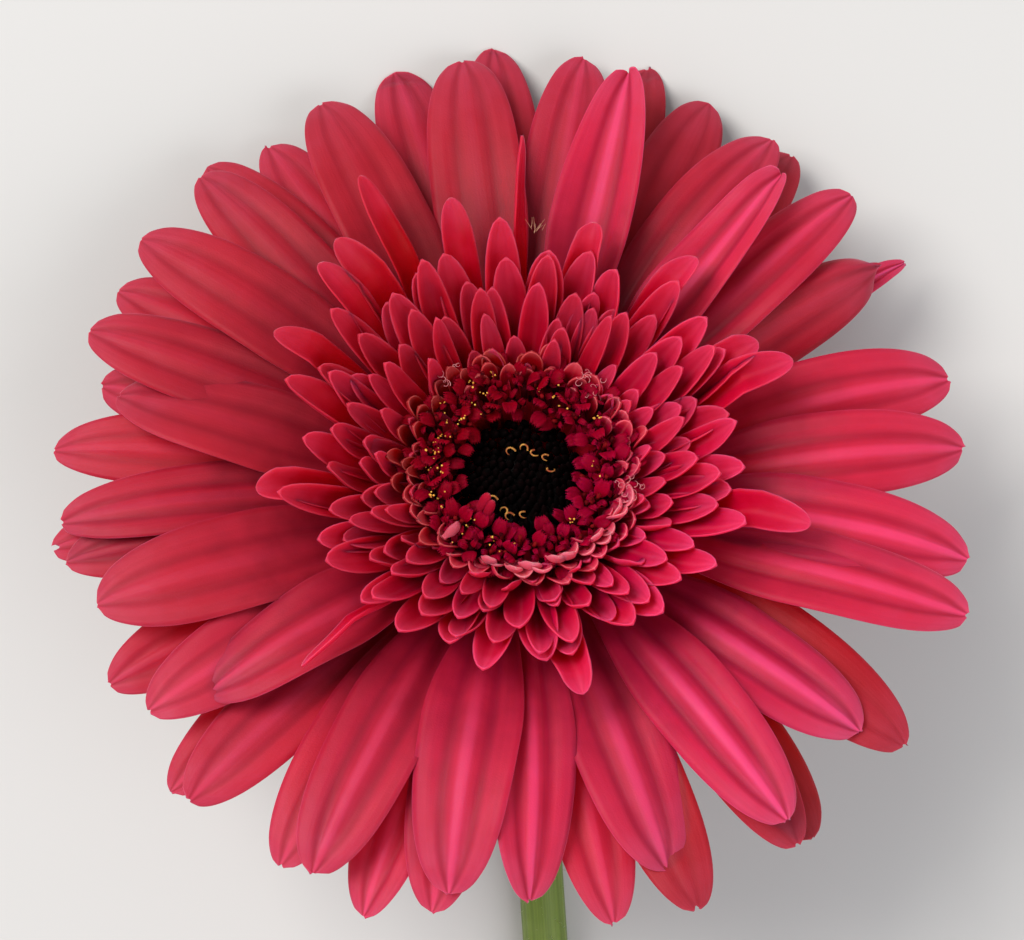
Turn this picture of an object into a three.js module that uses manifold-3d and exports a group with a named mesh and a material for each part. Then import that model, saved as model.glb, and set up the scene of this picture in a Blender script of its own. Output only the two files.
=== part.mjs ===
// A cut gerbera lying on its back: a leafless stem with a bent neck, and one large semi-double flower head.
// Millimetres, +Z up. The stem lies along -Y on the surface, and the head faces up, leaning towards +Y until
// its rear ray florets touch the surface. The origin is on the surface, under the middle of the whole flower.
import * as THREE from "three";
import { mergeVertices } from "three/addons/utils/BufferGeometryUtils.js";
import Module from "manifold-3d";

const wasm = await Module();
wasm.setup();

// ---- Driving dimensions ----
const CLEARANCE = 0.3; // gap kept between pieces that touch

const STEM_RADIUS = 2.9;
const STEM_LENGTH = 380; // from the end of the neck to the cut
const STEM_SIDES = 12;
const STEM_YAW = 2.6; // degrees between the lying stem and the head's lean
const STEM_SWAY = 9; // how far the lying stem wanders sideways
const STEM_SWAY_WAVES = 0.8; // how much of one wave it makes
const HEAD_LEAN = 27; // degrees between the head's axis and straight up
const CUT_ANGLE = 50; // degrees between the slanting cut and the stem

const RECEPTACLE_RADIUS = 13.6;
const RECEPTACLE_DEPTH = 6.2; // from the top of the stem to the rim
const DOME_RISE = 2.9; // how far the floret bed rises above the rim
const RIM_WIDTH = 2.6; // over which the floret bed falls to the rim

const FACE_HEIGHT = 17; // from the top of the stem to the dark middle of the disc

const RAY_THICKNESS = 0.5;
const RAY_BASE_OUTSET = 0.2; // of the front rays' bases, beyond the edge of the bed
const RAY_SPRING = 4.1; // how far out a ray leans as it springs from its base
const RAY_SPRING_DROP = 2.9; // and how far under the face it then is
const RAY_TIP_RISE = 3.3; // front tips above the face
const RAY_ARCH = 2.4; // how far a ray arches above its tip
const LEVEL_STEP_BASE = 0.85; // from one level of rays to the next, at their bases
const LEVEL_STEP_TIP = 1.75; // and at their tips
const RAY_CUP_RADIUS = 24; // of the curve across a ray's width

const TRANS_THICKNESS = 0.36;
const TRANS_RING_WIDTH = 0.75; // radial width of the tissue ring that joins a row at its base
const TRANS_RING_HEIGHT = 0.5;
const RING_SIDES = 24;

const BRACT_THICKNESS = 0.6;
const BRACT_RING = 0.75; // width and height of the ring that joins a row of bracts

// ---- Ray florets: one entry for each large outer floret ----
// [azimuth of the tip in degrees, tip radius, width, level, lean of the base in degrees]
// Level 0 is the front, nearest the face, and level 4 the back.
const RAYS = [
  [2.5, 55.5, 11.4, 2, 0],
  [14.5, 55.8, 10.4, 3, 2],
  [31, 54.7, 9, 4, 1],
  [32, 52.3, 9.6, 2, -1],
  [42, 54.8, 10, 1, -1],
  [51, 57, 10, 4, 0],
  [50.5, 48.8, 8.3, 0, -3],
  [56, 54.8, 10.6, 2, 3],
  [64, 56.2, 10, 3, 1],
  [74, 59, 10, 4, 0],
  [74.5, 52.8, 9.6, 0, -1],
  [81.5, 55.9, 10.4, 2, 2],
  [92, 58, 10, 3, 0],
  [98.5, 55.5, 11.4, 1, 0],
  [104.5, 58.6, 10.4, 4, 0],
  [117.5, 55.4, 11.4, 1, 0],
  [126, 56.1, 10, 4, 0],
  [131.5, 58, 10, 3, 1],
  [136.5, 57.1, 10, 2, 1],
  [147, 56.8, 10.6, 1, -1],
  [153.5, 57.3, 10, 3, 0],
  [160.5, 57, 10.4, 2, 0],
  [166.5, 55.1, 9.5, 4, 0],
  [169, 51.4, 11.8, 1, 5],
  [174.5, 58.6, 9.8, 3, 0],
  [186.5, 58.9, 9, 4, 0],
  [185, 57.1, 9.5, 2, -2],
  [191, 57.3, 9.4, 3, 0],
  [199.5, 54.4, 12, 1, 1],
  [206, 57, 10, 4, 1],
  [214, 54.5, 10.4, 2, 1],
  [217, 47.7, 11, 0, 7],
  [223, 58.5, 9.8, 4, 0],
  [225.5, 57.7, 10.8, 3, 1],
  [240.5, 57.7, 10.4, 2, -1],
  [244, 56.7, 11.6, 1, -1],
  [250, 58.7, 9.5, 4, 0],
  [257.5, 56.3, 10.8, 3, 1],
  [259.5, 54.4, 11.8, 0, 0],
  [272, 54.5, 10.2, 1, 1],
  [280.5, 57.7, 10, 4, 0],
  [289, 53.5, 12.2, 2, 0],
  [290, 59.1, 10.4, 3, 0],
  [308.5, 58.1, 10.4, 4, 1],
  [307, 57.9, 10, 3, 0],
  [307, 54.8, 11.2, 1, -3],
  [321, 52.8, 11.4, 2, -3],
  [325, 58.2, 10.4, 3, 2],
  [340, 57.6, 10.6, 0, -3],
  [350, 56.1, 11, 1, 1],
];

// ---- Trans florets: the rows of short florets between the rays and the disc ----
// The outermost and the innermost row; the rows between them are shared out evenly.
const TRANS_ROW_COUNT = 5;
// Tip rise is measured from the face.
const TRANS_OUTER = { count: 24, tipRadius: 29, tipRise: 10, width: 5.2 };
const TRANS_INNER = { count: 20, tipRadius: 16.5, tipRise: 4.6, width: 2.7 };
const TRANS_GAP = 1.1; // between the front rays' bases and the outermost row's

// ---- Disc: open disc florets round the dark unopened buds ----
const DISC_COUNT = 18;
const DISC_TOP_RADIUS = 10.4;
const DISC_TOP_RISE = 1.3; // above the face
const DISC_FLORET_RADIUS = 1.35; // at its mouth
const DISC_TUBE_RADIUS = 0.35; // at its foot
const BUDS_TOP_RADIUS = 7.3;
const BUDS_CROWN = 0.7; // the buds' top swells by this much

// ---- Involucre: the green bracts behind the head, outer row first ----
// A row starts at a share of the way up the receptacle's underside, a gap below it, and its tips end this far
// beyond the receptacle's rim. Flare moves the row further from the rim as it passes it.
const BRACT_ROWS = [
  { count: 16, share: 0.42, gap: 1.7, flare: 2.3, reach: 7.5, rise: 0.2, width: 3.7 },
  { count: 17, share: 0.66, gap: 0.75, flare: 0.7, reach: 11, rise: 4.6, width: 4 },
];

const radians = THREE.MathUtils.degToRad;

// ---- Solids ----
function toManifold(geometry) {
  const bare = geometry.clone().deleteAttribute("normal").deleteAttribute("uv");
  const merged = mergeVertices(bare, 1e-4);
  return new wasm.Manifold(
    new wasm.Mesh({
      numProp: 3,
      vertProperties: merged.attributes.position.array,
      triVerts: new Uint32Array(merged.index.array),
    }),
  );
}

function toGeometry(manifold) {
  const mesh = manifold.getMesh();
  return new THREE.BufferGeometry()
    .setAttribute("position", new THREE.BufferAttribute(mesh.vertProperties, 3))
    .setIndex(new THREE.BufferAttribute(mesh.triVerts, 1));
}

function joined(geometries) {
  return toGeometry(wasm.Manifold.union(geometries.map(toManifold)));
}

function makeMesh(name, geometry, material) {
  const mesh = new THREE.Mesh(geometry, material);
  mesh.name = name;
  return mesh;
}

// A box whose length follows a curved blade: section(along) gives the middle of the blade, its two
// unit directions and its half width at that share of its length.
function bladeGeometry({ stations, across, thickness, cupRadius = Infinity, section }) {
  const geometry = new THREE.BoxGeometry(1, 1, 1, across, stations, 1);
  const position = geometry.attributes.position;
  for (let i = 0; i < position.count; i++) {
    const { middle, side, up, halfWidth } = section(position.getY(i) + 0.5);
    const sideways = 2 * position.getX(i) * halfWidth;
    const raised = position.getZ(i) * thickness + sideways ** 2 / (2 * cupRadius);
    const point = middle.clone().addScaledVector(side, sideways).addScaledVector(up, raised);
    position.setXYZ(i, point.x, point.y, point.z);
  }
  geometry.computeVertexNormals();
  return geometry;
}

// The section of a blade that leaves the head's axis at an azimuth and follows a curve drawn in the
// plane of radius and height. The azimuth may change along the blade.
function radialSection({ curve, azimuth, halfWidth, drop = () => 0 }) {
  return (along) => {
    const at = curve.getPointAt(along);
    const slope = curve.getTangentAt(along);
    const turn = radians(azimuth(along));
    const outward = new THREE.Vector3(Math.cos(turn), Math.sin(turn), 0);
    const side = new THREE.Vector3(Math.sin(turn), -Math.cos(turn), 0);
    const up = outward.clone().multiplyScalar(-slope.y).setZ(slope.x);
    const middle = outward.clone().multiplyScalar(at.x).setZ(at.y).addScaledVector(up, -drop(along));
    return { middle, side, up, halfWidth: halfWidth(along) };
  };
}

// ---- Materials ----
const petalRed = new THREE.MeshStandardMaterial({ color: 0xc72b4c, roughness: 0.55, metalness: 0 });
const transRed = new THREE.MeshStandardMaterial({ color: 0xb01535, roughness: 0.55, metalness: 0 });
const discRed = new THREE.MeshStandardMaterial({ color: 0x7a0518, roughness: 0.6, metalness: 0 });
const budDark = new THREE.MeshStandardMaterial({ color: 0x120404, roughness: 0.6, metalness: 0 });
const stemGreen = new THREE.MeshStandardMaterial({ color: 0x6f8424, roughness: 0.6, metalness: 0 });
const bractGreen = new THREE.MeshStandardMaterial({ color: 0x4c6420, roughness: 0.7, metalness: 0 });

// ---- The head: its own frame has +Z along its axis and its origin at the top of the stem ----
const head = new THREE.Group();
head.rotation.x = -radians(HEAD_LEAN);

const bedRadius = RECEPTACLE_RADIUS - RIM_WIDTH;
const rayBaseRadius = bedRadius + RAY_BASE_OUTSET;
const bedHeight = RECEPTACLE_DEPTH + DOME_RISE; // of the floret bed, at the axis
const bedEdgeHeight = RECEPTACLE_DEPTH + 0.75 * DOME_RISE; // where it starts to fall to the rim

// Ray florets
function rayOutline(along) {
  // A narrow claw that widens to a long blade, with a blunt tip.
  const claw = 0.17 + 0.83 * THREE.MathUtils.smoothstep(along, 0, 0.66);
  const tip = Math.sqrt(Math.max(0, 1 - (Math.max(0, along - 0.66) / 0.35) ** 2.4));
  return claw * Math.max(tip, 0.2);
}

function rayGeometry([tipAzimuth, tipRadius, width, level, lean]) {
  const tipHeight = FACE_HEIGHT + RAY_TIP_RISE;
  const curve = new THREE.CubicBezierCurve(
    new THREE.Vector2(rayBaseRadius, bedEdgeHeight + CLEARANCE + RAY_THICKNESS),
    new THREE.Vector2(rayBaseRadius + RAY_SPRING, FACE_HEIGHT - RAY_SPRING_DROP),
    new THREE.Vector2(0.62 * tipRadius, tipHeight + RAY_ARCH),
    new THREE.Vector2(tipRadius, tipHeight),
  );
  return bladeGeometry({
    stations: 6,
    across: 2,
    thickness: RAY_THICKNESS,
    cupRadius: RAY_CUP_RADIUS,
    section: radialSection({
      curve,
      azimuth: (along) => tipAzimuth + lean * (1 - along),
      halfWidth: (along) => (width / 2) * rayOutline(along),
      drop: (along) => level * THREE.MathUtils.lerp(LEVEL_STEP_BASE, LEVEL_STEP_TIP, along),
    }),
  });
}

RAYS.forEach((ray, i) => {
  head.add(makeMesh(`ray_floret_${String(i + 1).padStart(2, "0")}`, rayGeometry(ray), petalRed));
});

// Trans florets
function ringGeometry(middleRadius, width, bottom, height) {
  const inner = middleRadius - width / 2;
  const outer = middleRadius + width / 2;
  const profile = [
    [inner, bottom],
    [outer, bottom],
    [outer, bottom + height],
    [inner, bottom + height],
    [inner, bottom],
  ].map(([r, z]) => new THREE.Vector2(r, z));
  return new THREE.LatheGeometry(profile, RING_SIDES).rotateX(Math.PI / 2);
}

function transOutline(along) {
  const claw = 0.24 + 0.76 * THREE.MathUtils.smoothstep(along, 0, 0.7);
  const tip = Math.sqrt(Math.max(0, 1 - (Math.max(0, along - 0.7) / 0.31) ** 2));
  return claw * Math.max(tip, 0.25);
}

// The radius at which a row stands on the bed; the row after the innermost one is the disc's own ring.
const rowSpacing = TRANS_RING_WIDTH + CLEARANCE;
const rowBaseRadius = (row) => rayBaseRadius - TRANS_GAP - row * rowSpacing;
const ringBottom = bedHeight + CLEARANCE;

function transRowGeometry(row) {
  const inwards = row / (TRANS_ROW_COUNT - 1);
  const shared = (key) => THREE.MathUtils.lerp(TRANS_OUTER[key], TRANS_INNER[key], inwards);
  const base = new THREE.Vector2(rowBaseRadius(row), ringBottom + TRANS_RING_HEIGHT / 2);
  const tip = new THREE.Vector2(shared("tipRadius"), FACE_HEIGHT + shared("tipRise"));
  // A control point: a share of the reach from base to tip, and a rise from the face.
  const between = ([outerReach, outerRise], [innerReach, innerRise]) =>
    new THREE.Vector2(
      THREE.MathUtils.lerp(base.x, tip.x, THREE.MathUtils.lerp(outerReach, innerReach, inwards)),
      FACE_HEIGHT + THREE.MathUtils.lerp(outerRise, innerRise, inwards),
    );
  const curve = new THREE.CubicBezierCurve(
    base,
    between([0.25, -3.4], [0.23, -4]),
    between([0.54, -0.5], [0.76, -1.2]),
    tip,
  );
  const count = Math.round(shared("count"));
  const florets = Array.from({ length: count }, (_, i) => {
    const azimuth = ((i + 0.5 * row) * 360) / count;
    return bladeGeometry({
      stations: 4,
      across: 1,
      thickness: TRANS_THICKNESS,
      section: radialSection({
        curve,
        azimuth: () => azimuth,
        halfWidth: (along) => (shared("width") / 2) * transOutline(along),
      }),
    });
  });
  return joined([ringGeometry(base.x, TRANS_RING_WIDTH, ringBottom, TRANS_RING_HEIGHT), ...florets]);
}

for (let row = 0; row < TRANS_ROW_COUNT; row++) {
  head.add(makeMesh(`trans_florets_row_${row + 1}`, transRowGeometry(row), transRed));
}

// Open disc florets: small funnels that fan out from one ring of tissue
const discBaseRadius = rowBaseRadius(TRANS_ROW_COUNT);

function funnelGeometry(azimuth) {
  const from = new THREE.Vector3(discBaseRadius, 0, ringBottom + TRANS_RING_HEIGHT / 2);
  const to = new THREE.Vector3(DISC_TOP_RADIUS, 0, FACE_HEIGHT + DISC_TOP_RISE);
  const axis = to.clone().sub(from);
  const funnel = new THREE.CylinderGeometry(DISC_FLORET_RADIUS, DISC_TUBE_RADIUS, axis.length(), 6);
  funnel.applyQuaternion(
    new THREE.Quaternion().setFromUnitVectors(new THREE.Vector3(0, 1, 0), axis.clone().normalize()),
  );
  return funnel.translate(...from.add(to).multiplyScalar(0.5).toArray()).rotateZ(radians(azimuth));
}

const discRing = ringGeometry(discBaseRadius, TRANS_RING_WIDTH, ringBottom, TRANS_RING_HEIGHT);
const funnels = Array.from({ length: DISC_COUNT }, (_, i) => funnelGeometry((i * 360) / DISC_COUNT));
head.add(makeMesh("disc_florets", joined([discRing, ...funnels]), discRed));

// Unopened buds: one close-packed dark tuft
const budsProfile = new THREE.Path();
budsProfile.moveTo(0, ringBottom);
budsProfile.lineTo(rowBaseRadius(TRANS_ROW_COUNT + 1), ringBottom);
budsProfile.lineTo(BUDS_TOP_RADIUS, FACE_HEIGHT - BUDS_CROWN);
budsProfile.quadraticCurveTo(0.6 * BUDS_TOP_RADIUS, FACE_HEIGHT, 0, FACE_HEIGHT);
const budsGeometry = new THREE.LatheGeometry(budsProfile.getPoints(4), 24).rotateX(Math.PI / 2);
head.add(makeMesh("disc_buds", budsGeometry, budDark));

// ---- The receptacle: the swollen top of the stem, which carries every floret ----
const receptacleSide = new THREE.CubicBezierCurve(
  new THREE.Vector2(STEM_RADIUS, -0.4 * STEM_RADIUS),
  new THREE.Vector2(STEM_RADIUS, 0.25 * RECEPTACLE_DEPTH),
  new THREE.Vector2(0.9 * RECEPTACLE_RADIUS, 0.2 * RECEPTACLE_DEPTH),
  new THREE.Vector2(RECEPTACLE_RADIUS, 0.85 * RECEPTACLE_DEPTH),
);

function receptacleGeometry() {
  const bed = new THREE.QuadraticBezierCurve(
    new THREE.Vector2(bedRadius, bedEdgeHeight),
    new THREE.Vector2(0.5 * bedRadius, bedHeight),
    new THREE.Vector2(0, bedHeight),
  );
  const profile = [
    new THREE.Vector2(0, -0.4 * STEM_RADIUS),
    ...receptacleSide.getPoints(7),
    new THREE.Vector2(RECEPTACLE_RADIUS - CLEARANCE, RECEPTACLE_DEPTH),
    ...bed.getPoints(3),
  ];
  return new THREE.LatheGeometry(profile, 32).rotateX(Math.PI / 2);
}

// Bracts: two rows of pointed green leaves that clasp the receptacle
function bractOutline(along) {
  return THREE.MathUtils.lerp(1, 0.22, THREE.MathUtils.smoothstep(along, 0.3, 1));
}

// A point at a share of the way up the receptacle's underside, and a distance below it.
function underReceptacle(share, gap) {
  const tangent = receptacleSide.getTangentAt(share);
  return receptacleSide.getPointAt(share).add(new THREE.Vector2(tangent.y, -tangent.x).multiplyScalar(gap));
}

function bractRowGeometry({ count, share, gap, flare, reach, rise, width }, row) {
  const base = underReceptacle(share, gap);
  const curve = new THREE.CubicBezierCurve(
    base,
    underReceptacle(share + 0.14, gap + 0.1),
    underReceptacle(0.98, gap + flare),
    new THREE.Vector2(RECEPTACLE_RADIUS + reach, RECEPTACLE_DEPTH + rise),
  );
  const bracts = Array.from({ length: count }, (_, i) => {
    const azimuth = ((i + 0.5 * row) * 360) / count;
    return bladeGeometry({
      stations: 4,
      across: 1,
      thickness: BRACT_THICKNESS,
      section: radialSection({
        curve,
        azimuth: () => azimuth,
        halfWidth: (along) => (width / 2) * bractOutline(along),
      }),
    });
  });
  return joined([ringGeometry(base.x, BRACT_RING, base.y - BRACT_RING / 2, BRACT_RING), ...bracts]);
}

BRACT_ROWS.forEach((row, i) => {
  head.add(makeMesh(`bracts_row_${i + 1}`, bractRowGeometry(row, i), bractGreen));
});

// ---- The lowest ray florets rest on the surface, and so does the stem: that sets the bend of the neck ----
const headHeight = -new THREE.Box3().setFromObject(head, true).min.z; // of the top of the stem
head.position.z = headHeight;

// ---- The stem and the receptacle, which grew as one piece ----
function stemGeometry() {
  const lean = radians(HEAD_LEAN);
  const bendRadius = (headHeight - STEM_RADIUS) / (1 - Math.sin(lean));
  const handle = (4 / 3) * Math.tan((Math.PI / 2 - lean) / 4) * bendRadius;
  const away = new THREE.Vector3(Math.sin(radians(STEM_YAW)), -Math.cos(radians(STEM_YAW)), 0);
  const aside = new THREE.Vector3(-away.y, away.x, 0);
  const top = new THREE.Vector3(0, 0, headHeight);
  const bendStart = away.clone().multiplyScalar(bendRadius * Math.cos(lean)).setZ(STEM_RADIUS);
  const neck = new THREE.CubicBezierCurve3(
    bendStart,
    bendStart.clone().addScaledVector(away, -handle),
    top.clone().add(new THREE.Vector3(0, -Math.sin(lean), -Math.cos(lean)).multiplyScalar(handle)),
    top,
  );

  const points = [bendStart.clone().addScaledVector(away, -0.5 * STEM_RADIUS)];
  const stretches = 6;
  for (let i = 0; i <= stretches; i++) {
    const share = i / stretches;
    const sway = (STEM_SWAY / 2) * (1 - Math.cos(2 * Math.PI * STEM_SWAY_WAVES * share));
    points.unshift(
      bendStart.clone().addScaledVector(away, share * STEM_LENGTH).addScaledVector(aside, sway),
    );
  }
  const lying = new THREE.CatmullRomCurve3(points);

  const section = new THREE.Shape();
  section.absarc(0, 0, STEM_RADIUS, 0, 2 * Math.PI);
  const tube = (extrudePath, steps) =>
    new THREE.ExtrudeGeometry(section, {
      steps,
      curveSegments: STEM_SIDES / 2,
      bevelEnabled: false,
      extrudePath,
    });

  const end = points[0];
  const endDirection = lying.getTangentAt(0);
  const cutter = new THREE.BoxGeometry(8 * STEM_RADIUS, 8 * STEM_RADIUS, 8 * STEM_RADIUS);
  cutter.translate(0, -4 * STEM_RADIUS, 0).rotateX(radians(90 - CUT_ANGLE));
  cutter.applyQuaternion(
    new THREE.Quaternion().setFromUnitVectors(new THREE.Vector3(0, 1, 0), endDirection),
  );
  cutter.translate(end.x, end.y, end.z);
  cutter.translate(...endDirection.multiplyScalar(STEM_RADIUS / Math.tan(radians(CUT_ANGLE))).toArray());

  const receptacle = receptacleGeometry().rotateX(-lean).translate(0, 0, headHeight);
  const stem = wasm.Manifold.union([tube(lying, 36), tube(neck, 8), receptacle].map(toManifold));
  return toGeometry(stem.subtract(toManifold(cutter)));
}

// ---- The whole flower, with its origin under the middle of its box ----
const flower = new THREE.Group();
flower.add(head, makeMesh("stem", stemGeometry(), stemGreen));
const box = new THREE.Box3().setFromObject(flower, true);
const middle = box.getCenter(new THREE.Vector3());
flower.position.set(-middle.x, -middle.y, -box.min.z);

export default flower;
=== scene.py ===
"""A cut gerbera daisy lying down, face up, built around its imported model: stalk, bracts, petals and disc."""

import math
import random

import bmesh
import bpy
import numpy as np
from mathutils import Matrix, Quaternion, Vector


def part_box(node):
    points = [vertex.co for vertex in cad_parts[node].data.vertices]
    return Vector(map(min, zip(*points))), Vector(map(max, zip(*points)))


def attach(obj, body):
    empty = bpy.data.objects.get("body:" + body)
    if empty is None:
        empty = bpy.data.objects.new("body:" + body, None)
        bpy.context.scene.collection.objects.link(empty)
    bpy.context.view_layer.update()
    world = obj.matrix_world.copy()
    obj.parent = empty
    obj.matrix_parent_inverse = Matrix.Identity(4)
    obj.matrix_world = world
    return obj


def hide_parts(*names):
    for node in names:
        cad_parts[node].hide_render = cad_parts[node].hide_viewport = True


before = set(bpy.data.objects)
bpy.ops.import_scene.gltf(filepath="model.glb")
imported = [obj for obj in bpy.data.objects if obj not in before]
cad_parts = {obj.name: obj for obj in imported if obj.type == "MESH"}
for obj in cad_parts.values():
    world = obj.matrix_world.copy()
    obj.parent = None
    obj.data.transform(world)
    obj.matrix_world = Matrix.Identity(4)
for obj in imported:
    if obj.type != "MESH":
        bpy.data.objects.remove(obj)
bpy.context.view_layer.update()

# ---- Stalk and receptacle ----
# A leafless stalk, round with faint ribs, satin green and softly hairy. It bends up under the head and
# swells into the receptacle, the solid pad that all the florets and bracts grow from. The far end is cut on
# a slant.


def corners(node):
    """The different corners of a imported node, in metres."""
    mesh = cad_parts[node].data
    places = np.empty(3 * len(mesh.vertices))
    mesh.vertices.foreach_get("co", places)
    return np.unique(np.round(places.reshape(-1, 3), 7), axis=0)


# Every floret grows about the head's axis, so the head is modelled in millimetres about it: Z is the axis,
# and the origin is the crown of the dark buds. Their packed tuft is round, so its spread gives the axis.
buds = corners("disc_buds")
buds_middle = buds.mean(axis=0)
spreads, directions = np.linalg.eigh(np.cov((buds - buds_middle).T))
axis_column = 0 if spreads[1] - spreads[0] > spreads[2] - spreads[1] else 2
head_axis = Vector(directions[:, axis_column])
if head_axis.z < 0:
    head_axis.negate()
crown = Vector(buds_middle) + head_axis * ((buds - buds_middle) @ np.array(head_axis)).max()
head_right = (Vector((1, 0, 0)) - head_axis * head_axis.x).normalized()
head_rise = head_axis.cross(head_right)
HEAD = Matrix.Translation(crown) @ Matrix((head_right, head_rise, head_axis)).transposed().to_4x4()
HEAD = HEAD @ Matrix.Scale(0.001, 4)


def put(name, bm, material, slot, *nodes):
    """Makes a finished piece from a mesh that is already in place."""
    mesh = bpy.data.meshes.new(name)
    bmesh.ops.recalc_face_normals(bm, faces=bm.faces)
    bm.to_mesh(mesh)
    bm.free()
    mesh.shade_smooth()
    mesh.materials.append(material)
    piece = bpy.data.objects.new(name, mesh)
    bpy.context.scene.collection.objects.link(piece)
    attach(piece, "root")
    if nodes:
        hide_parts(*nodes)
    return piece


class Wiring:
    """Short ways to add and join the nodes of one tree."""

    def __init__(self, tree):
        self.tree = tree

    def node(self, kind, **settings):
        made = self.tree.nodes.new(kind)
        for key, value in settings.items():
            setattr(made, key, value)
        return made

    def join(self, value, socket):
        if isinstance(value, bpy.types.NodeSocket):
            self.tree.links.new(value, socket)
        else:
            socket.default_value = value

    def attribute(self, name):
        return self.node("ShaderNodeAttribute", attribute_name=name).outputs["Fac"]

    def math(self, operation, *values, clamp=False):
        made = self.node("ShaderNodeMath", operation=operation, use_clamp=clamp)
        for value, socket in zip(values, made.inputs):
            self.join(value, socket)
        return made.outputs[0]

    def plus(self, *values, clamp=False):
        return self.math("ADD", *values, clamp=clamp)

    def minus(self, *values, clamp=False):
        return self.math("SUBTRACT", *values, clamp=clamp)

    def times(self, *values, clamp=False):
        return self.math("MULTIPLY", *values, clamp=clamp)

    def band(self, value, low, high):
        """0 below low and 1 above high, smooth between."""
        made = self.node("ShaderNodeMapRange", interpolation_type="SMOOTHSTEP")
        self.join(value, made.inputs["Value"])
        self.join(low, made.inputs["From Min"])
        self.join(high, made.inputs["From Max"])
        return made.outputs["Result"]

    def mix(self, share, first, second, blend="MIX"):
        made = self.node("ShaderNodeMix", data_type="RGBA", blend_type=blend)
        self.join(share, made.inputs["Factor"])
        self.join(first, made.inputs[6])
        self.join(second, made.inputs[7])
        return made.outputs[2]

    def noise(self, vector, scale, detail=2.0, roughness=0.5):
        made = self.node("ShaderNodeTexNoise")
        self.join(vector, made.inputs["Vector"])
        made.inputs["Scale"].default_value = scale
        made.inputs["Detail"].default_value = detail
        made.inputs["Roughness"].default_value = roughness
        return made.outputs["Fac"]

    def relief(self, height, strength, distance, shader):
        """Raises the shader's surface by height, up to distance in metres."""
        made = self.node("ShaderNodeBump")
        made.inputs["Strength"].default_value = strength
        made.inputs["Distance"].default_value = distance
        self.join(height, made.inputs["Height"])
        self.join(made.outputs["Normal"], shader.inputs["Normal"])

    def vector(self, x, y, z):
        made = self.node("ShaderNodeCombineXYZ")
        for value, socket in zip((x, y, z), made.inputs):
            self.join(value, socket)
        return made.outputs[0]


def new_material(name, settings):
    """A material with one shader and its plain settings, the shader, and the wiring of its nodes."""
    material = bpy.data.materials.new(name)
    material.use_nodes = True
    shader = material.node_tree.nodes["Principled BSDF"]
    for label, value in settings.items():
        shader.inputs[label].default_value = value
    return material, shader, Wiring(material.node_tree)


STALK_SIDES = 28
STALK_RIBS = 9
STALK_RIB_DEPTH = 0.018  # as a share of the radius
STEM_TOP = 17.0  # below the crown, along the head's axis, in millimetres
NECK_HANDLE = 0.42  # how far the neck keeps its direction at each end, as a share of its span
NECK_STEPS = 14
STALK_RADIUS = 0.0029
# Height above the stalk and radius of the receptacle's underside, and of the bed that the florets stand on
SWELLING = (
    (-1.0, 2.9),
    (0.2, 3.3),
    (0.75, 5.6),
    (1.5, 7.9),
    (2.6, 10.9),
    (4.2, 12.9),
    (5.4, 13.5),
    (6.2, 13.1),
)
FLORET_BED = ((7.4, 12.0), (8.35, 10.6), (8.8, 7.0), (9.05, 3.0), (9.1, 0.4))

BEND_REACH = 0.0195  # from the top of the neck to where the stalk starts to bend, in plan
LYING_HEIGHT = 0.0075  # the lying part of the stalk is all below this
SLICE = 0.007  # from the middle of a slice of the lying stalk to its ends
SLICE_COUNT = 24
LYING_STEPS = 90

stem_corners = corners("stem")
stem_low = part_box("stem")[0]


def stalk_middle(y):
    near = stem_corners[abs(stem_corners[:, 1] - y) < SLICE]
    near = near[near[:, 2] < LYING_HEIGHT]
    return (near[:, 0].min() + near[:, 0].max()) / 2


stem_top = HEAD @ Vector((0, 0, -STEM_TOP))
bend_start_y = stem_top.y - BEND_REACH
levels = np.linspace(stem_low.y + 0.012, bend_start_y - 0.012, SLICE_COUNT)
sway = np.polyfit(levels, [stalk_middle(y) for y in levels], 5)


def route():
    """The stalk's middle line, from the cut end to the top of the neck, in metres."""
    lying = [
        Vector((np.polyval(sway, y), y, STALK_RADIUS))
        for y in np.linspace(stem_low.y - 0.004, bend_start_y, LYING_STEPS)
    ]
    ahead = (lying[-1] - lying[-2]).normalized()
    span = (stem_top - lying[-1]).length
    first = lying[-1] + ahead * span * NECK_HANDLE
    second = stem_top - head_axis * span * NECK_HANDLE
    neck = []
    for i in range(1, NECK_STEPS + 1):
        t = i / NECK_STEPS
        ends = lying[-1] * (1 - t) ** 3 + stem_top * t**3
        neck.append(ends + first * 3 * t * (1 - t) ** 2 + second * 3 * t * t * (1 - t))
    return lying + neck


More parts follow.
